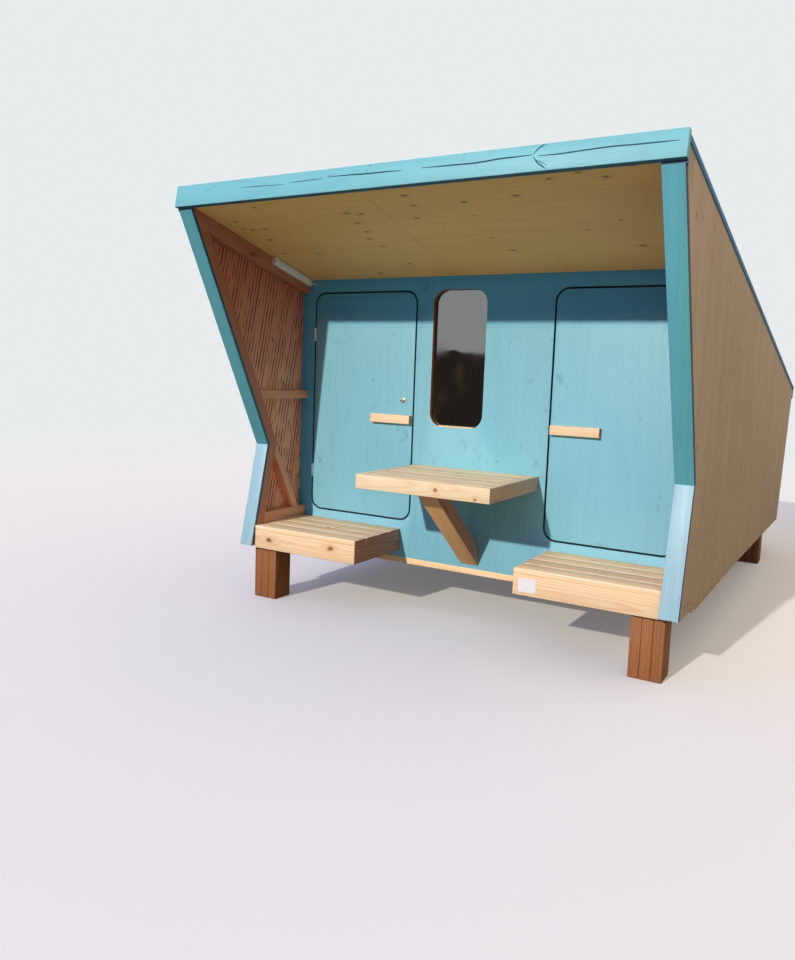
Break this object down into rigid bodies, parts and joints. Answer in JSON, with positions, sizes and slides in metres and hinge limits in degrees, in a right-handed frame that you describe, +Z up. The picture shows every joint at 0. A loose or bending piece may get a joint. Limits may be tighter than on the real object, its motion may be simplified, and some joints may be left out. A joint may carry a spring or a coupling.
{
  "type": "holiday cabin",
  "caption": "Small timber holiday cabin with a lean-to roof, a sheltered porch with benches and a table, and hinged doors.",
  "frame": {"origin": "on the ground under the middle of the whole cabin's box", "axes": "+X to the right seen from the front, +Y from the porch to the rear, +Z up"},
  "size_m": [2.54, 4.748, 2.2732],
  "materials": {
    "posts": "planed larch, oiled",
    "floor_timber": "planed softwood",
    "floor_ply": "sanded plywood",
    "side_ply": "three-layer board, clear oil, weathered",
    "brushed_lining": "brushed larch plywood",
    "teal_timber": "teal opaque stain",
    "porch_timber": "planed larch",
    "blue_boarding": "blue opaque stain on spruce board",
    "blue_doors": "blue opaque stain on spruce board",
    "window_glass": "clear float glass, dark inside",
    "frame_timber": "sawn spruce",
    "pull_timber": "planed pine",
    "hinge_steel": "satin",
    "lock_brass": "satin",
    "bench_timber": "planed larch",
    "ceiling_ply": "spruce board with knots",
    "roof_ply": "plywood",
    "roof_sheet": "roofing membrane",
    "edge_paint": "teal opaque stain",
    "lamp_plastic": "off-white"
  },
  "bodies": {
    "cabin": {"front_posts": "posts", "rear_posts": "posts", "side_bearers": "floor_timber", "floor_joists": "floor_timber", "floor_deck": "floor_ply", "sole_strip": "floor_timber", "left_outer_panel": "side_ply", "right_outer_panel": "side_ply", "left_lining": "brushed_lining", "right_lining": "brushed_lining", "left_caps": "teal_timber", "right_caps": "teal_timber", "wing_rails": "porch_timber", "wing_studs": "porch_timber", "wing_braces": "porch_timber", "front_wall_jambs": "blue_boarding", "front_wall_headers": "blue_boarding", "front_wall_sills": "blue_boarding", "front_wall_middle": "blue_boarding", "window_glass": "window_glass", "window_bead": "frame_timber", "jamb_hinges": "hinge_steel", "door_stops": "frame_timber", "bench_tops": "bench_timber", "bench_frames": "bench_timber", "table_planks": "bench_timber", "table_frame": "bench_timber", "table_strut": "bench_timber", "porch_ceiling": "ceiling_ply", "rafters": "frame_timber", "roof_deck": "roof_ply", "roof_cover": "roof_sheet", "roof_edges": "edge_paint", "front_fascia": "teal_timber", "rear_fascia": "teal_timber", "rear_wall": "side_ply", "wall_studs": "frame_timber", "porch_lamp": "lamp_plastic"},
    "left_door": {"left_door": "blue_doors", "left_door_pull": "pull_timber", "left_door_hinges": "hinge_steel", "door_lock": "lock_brass"},
    "right_door": {"right_door": "blue_doors", "right_door_pull": "pull_timber", "right_door_hinges": "hinge_steel"}
  },
  "joints": [
    {"name": "left_door_hinge", "type": "hinge", "parent": "cabin", "child": "left_door", "pos_m": [-1.125, -1.33417, 1.16], "axis": [0, 0, -1], "range_deg": [0, 90]},
    {"name": "right_door_hinge", "type": "hinge", "parent": "cabin", "child": "right_door", "pos_m": [1.125, -1.33417, 1.16], "axis": [0, 0, 1], "range_deg": [0, 90]}
  ]
}
